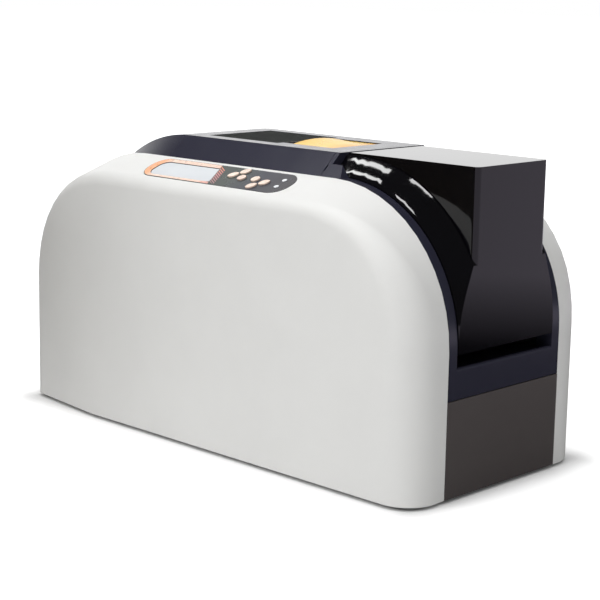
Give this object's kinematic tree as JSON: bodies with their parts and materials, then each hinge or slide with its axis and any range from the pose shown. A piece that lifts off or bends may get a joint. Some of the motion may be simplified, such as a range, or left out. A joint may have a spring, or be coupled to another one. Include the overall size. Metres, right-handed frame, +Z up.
{
  "type": "id card printer",
  "caption": "Desktop ID card printer: white arched side shells, dark centre body, smoked card hopper hood, lifting top cover with orange latch, keypad and LCD on one shell.",
  "frame": {"origin": "on the table, under the middle of the printer's bounding box", "axes": "+Y from the card hopper in front to the sockets behind, +X to the right seen from the hopper, +Z up"},
  "size_m": [0.204, 0.4366, 0.2363],
  "materials": {
    "left_side_shell": "matte",
    "right_side_shell": "matte",
    "base_pan": "satin",
    "rubber_feet": "satin",
    "left_chassis_plate": "satin",
    "right_chassis_plate": "satin",
    "tie_rods": "satin",
    "front_frame": "matte",
    "lower_front_panel": "matte",
    "rear_panel": "matte",
    "shell_screws": "satin",
    "hinge_pins": "satin",
    "card_cassette": "matte",
    "panel_bezel": "satin",
    "panel_board": "matte",
    "lcd_window": "satin",
    "status_lights": "satin",
    "shaft_bushes": "satin",
    "transport_belt": "satin",
    "motor_belt": "satin",
    "stepper_motors": "satin",
    "ribbon_film": "satin",
    "head_springs": "satin",
    "power_supply": "satin",
    "main_board": "matte",
    "rear_sockets": "matte",
    "top_cover": "matte",
    "ribbed_panel": "matte",
    "latch_pin": "satin",
    "latch_pad": "satin",
    "latch_spring": "satin",
    "hopper_hood": "satin",
    "card_weight": "satin",
    "rear_upper_key": "satin",
    "rear_lower_key": "satin",
    "rear_round_key": "satin",
    "front_upper_key": "satin",
    "front_lower_key": "satin",
    "front_round_key": "satin",
    "pick_roller": "satin",
    "pick_shaft": "satin",
    "entry_roller": "satin",
    "entry_shaft": "satin",
    "platen_roller": "satin",
    "platen_shaft": "satin",
    "rear_roller": "satin",
    "rear_shaft": "satin",
    "exit_roller": "satin",
    "exit_shaft": "satin",
    "entry_pinch": "matte",
    "rear_pinch": "matte",
    "exit_pinch": "matte",
    "motor_pulley": "satin",
    "ribbon_pinion": "satin",
    "supply_spool": "matte",
    "takeup_spool": "matte",
    "head_bracket": "satin",
    "print_head": "matte",
    "power_switch": "matte",
    "fan_rotor": "matte"
  },
  "bodies": {
    "chassis": {"left_side_shell": "left_side_shell", "right_side_shell": "right_side_shell", "base_pan": "base_pan", "rubber_feet": "rubber_feet", "left_chassis_plate": "left_chassis_plate", "right_chassis_plate": "right_chassis_plate", "tie_rods": "tie_rods", "front_frame": "front_frame", "lower_front_panel": "lower_front_panel", "rear_panel": "rear_panel", "shell_screws": "shell_screws", "hinge_pins": "hinge_pins", "card_cassette": "card_cassette", "panel_bezel": "panel_bezel", "panel_board": "panel_board", "lcd_window": "lcd_window", "status_lights": "status_lights", "shaft_bushes": "shaft_bushes", "transport_belt": "transport_belt", "motor_belt": "motor_belt", "stepper_motors": "stepper_motors", "ribbon_film": "ribbon_film", "head_springs": "head_springs", "power_supply": "power_supply", "main_board": "main_board", "rear_sockets": "rear_sockets"},
    "cover": {"top_cover": "top_cover", "ribbed_panel": "ribbed_panel", "latch_pin": "latch_pin"},
    "latch": {"latch_pad": "latch_pad", "latch_spring": "latch_spring"},
    "hood": {"hopper_hood": "hopper_hood"},
    "weight": {"card_weight": "card_weight"},
    "rear_upper_key_cap": {"rear_upper_key": "rear_upper_key"},
    "rear_lower_key_cap": {"rear_lower_key": "rear_lower_key"},
    "rear_round_key_cap": {"rear_round_key": "rear_round_key"},
    "front_upper_key_cap": {"front_upper_key": "front_upper_key"},
    "front_lower_key_cap": {"front_lower_key": "front_lower_key"},
    "front_round_key_cap": {"front_round_key": "front_round_key"},
    "pick": {"pick_roller": "pick_roller", "pick_shaft": "pick_shaft"},
    "entry": {"entry_roller": "entry_roller", "entry_shaft": "entry_shaft"},
    "platen": {"platen_roller": "platen_roller", "platen_shaft": "platen_shaft"},
    "rear_drive": {"rear_roller": "rear_roller", "rear_shaft": "rear_shaft"},
    "exit_drive": {"exit_roller": "exit_roller", "exit_shaft": "exit_shaft"},
    "entry_idler": {"entry_pinch": "entry_pinch"},
    "rear_idler": {"rear_pinch": "rear_pinch"},
    "exit_idler": {"exit_pinch": "exit_pinch"},
    "drive": {"motor_pulley": "motor_pulley"},
    "pinion": {"ribbon_pinion": "ribbon_pinion"},
    "supply": {"supply_spool": "supply_spool"},
    "takeup": {"takeup_spool": "takeup_spool"},
    "head": {"head_bracket": "head_bracket", "print_head": "print_head"},
    "rocker": {"power_switch": "power_switch"},
    "fan": {"fan_rotor": "fan_rotor"}
  },
  "joints": [
    {"name": "cover_hinge", "type": "hinge", "parent": "chassis", "child": "cover", "pos_m": [0, 0.14313, 0.20376], "axis": [-1, 0, 0], "range_deg": [0, 70]},
    {"name": "hood_hinge", "type": "hinge", "parent": "chassis", "child": "hood", "pos_m": [0, -0.1055, 0.2275], "axis": [-1, 0, 0], "range_deg": [0, 80]},
    {"name": "latch_pivot", "type": "hinge", "parent": "cover", "child": "latch", "pos_m": [0, -0.065, 0.23], "axis": [1, 0, 0], "range_deg": [0, 22], "stiffness_Nm_per_rad": 0.08, "springref_deg": -11.46},
    {"name": "weight_slide", "type": "slide", "parent": "chassis", "child": "weight", "axis": [0, 0, 1], "range_m": [0, 0.075]},
    {"name": "rear_upper_key_press", "type": "slide", "parent": "chassis", "child": "rear_upper_key_cap", "axis": [0.3746, 0, -0.9272], "range_m": [0, 0.0007], "stiffness_N_per_m": 400, "springref_m": -0.0002},
    {"name": "rear_lower_key_press", "type": "slide", "parent": "chassis", "child": "rear_lower_key_cap", "axis": [0.3746, 0, -0.9272], "range_m": [0, 0.0007], "stiffness_N_per_m": 400, "springref_m": -0.0002},
    {"name": "rear_round_key_press", "type": "slide", "parent": "chassis", "child": "rear_round_key_cap", "axis": [0.3746, 0, -0.9272], "range_m": [0, 0.0007], "stiffness_N_per_m": 400, "springref_m": -0.0002},
    {"name": "front_upper_key_press", "type": "slide", "parent": "chassis", "child": "front_upper_key_cap", "axis": [0.3746, 0, -0.9272], "range_m": [0, 0.0007], "stiffness_N_per_m": 400, "springref_m": -0.0002},
    {"name": "front_lower_key_press", "type": "slide", "parent": "chassis", "child": "front_lower_key_cap", "axis": [0.3746, 0, -0.9272], "range_m": [0, 0.0007], "stiffness_N_per_m": 400, "springref_m": -0.0002},
    {"name": "front_round_key_press", "type": "slide", "parent": "chassis", "child": "front_round_key_cap", "axis": [0.3746, 0, -0.9272], "range_m": [0, 0.0007], "stiffness_N_per_m": 400, "springref_m": -0.0002},
    {"name": "platen_turn", "type": "hinge", "parent": "chassis", "child": "platen", "pos_m": [0, -0.011, 0.091], "axis": [1, 0, 0], "continuous": true},
    {"name": "entry_turn", "type": "hinge", "parent": "chassis", "child": "entry", "pos_m": [0, -0.084, 0.091], "axis": [1, 0, 0], "continuous": true},
    {"name": "pick_turn", "type": "hinge", "parent": "chassis", "child": "pick", "pos_m": [0, -0.124, 0.1037], "axis": [1, 0, 0], "continuous": true},
    {"name": "rear_turn", "type": "hinge", "parent": "chassis", "child": "rear_drive", "pos_m": [0, 0.04, 0.091], "axis": [1, 0, 0], "continuous": true},
    {"name": "exit_turn", "type": "hinge", "parent": "chassis", "child": "exit_drive", "pos_m": [0, -0.15, 0.091], "axis": [1, 0, 0], "continuous": true},
    {"name": "drive_turn", "type": "hinge", "parent": "chassis", "child": "drive", "pos_m": [0.066, -0.011, 0.046], "axis": [1, 0, 0], "continuous": true},
    {"name": "entry_idler_turn", "type": "hinge", "parent": "chassis", "child": "entry_idler", "pos_m": [0, -0.0845, 0.1006], "axis": [1, 0, 0], "continuous": true},
    {"name": "rear_idler_turn", "type": "hinge", "parent": "chassis", "child": "rear_idler", "pos_m": [0, 0.04, 0.1006], "axis": [1, 0, 0], "continuous": true},
    {"name": "exit_idler_turn", "type": "hinge", "parent": "chassis", "child": "exit_idler", "pos_m": [0, -0.15, 0.1006], "axis": [1, 0, 0], "continuous": true},
    {"name": "takeup_turn", "type": "hinge", "parent": "chassis", "child": "takeup", "pos_m": [0, 0.064, 0.136], "axis": [1, 0, 0], "continuous": true},
    {"name": "supply_turn", "type": "hinge", "parent": "chassis", "child": "supply", "pos_m": [0, -0.058, 0.136], "axis": [1, 0, 0], "continuous": true},
    {"name": "pinion_turn", "type": "hinge", "parent": "chassis", "child": "pinion", "pos_m": [0.064, 0.07541, 0.15746], "axis": [1, 0, 0], "continuous": true},
    {"name": "head_pivot", "type": "hinge", "parent": "chassis", "child": "head", "pos_m": [0, 0.02, 0.118], "axis": [-1, 0, 0], "range_deg": [0, 6], "stiffness_Nm_per_rad": 4, "springref_deg": -5.73, "deforming": ["head_springs"]},
    {"name": "rocker_tilt", "type": "hinge", "parent": "chassis", "child": "rocker", "pos_m": [0.004, 0.1913, 0.03], "axis": [1, 0, 0], "range_deg": [-18, 0]},
    {"name": "fan_turn", "type": "hinge", "parent": "chassis", "child": "fan", "pos_m": [0.022, 0.1873, 0.076], "axis": [0, 1, 0], "continuous": true}
  ],
  "couplings": [
    {"joint": "entry_turn", "follows": "platen_turn", "ratio": 1},
    {"joint": "pick_turn", "follows": "platen_turn", "ratio": 1},
    {"joint": "rear_turn", "follows": "platen_turn", "ratio": 1},
    {"joint": "exit_turn", "follows": "platen_turn", "ratio": 1},
    {"joint": "drive_turn", "follows": "platen_turn", "ratio": 1},
    {"joint": "entry_idler_turn", "follows": "platen_turn", "ratio": -1.875},
    {"joint": "rear_idler_turn", "follows": "platen_turn", "ratio": -1.875},
    {"joint": "exit_idler_turn", "follows": "platen_turn", "ratio": -1.875},
    {"joint": "supply_turn", "follows": "takeup_turn", "ratio": 0.63158},
    {"joint": "pinion_turn", "follows": "takeup_turn", "ratio": -3}
  ]
}
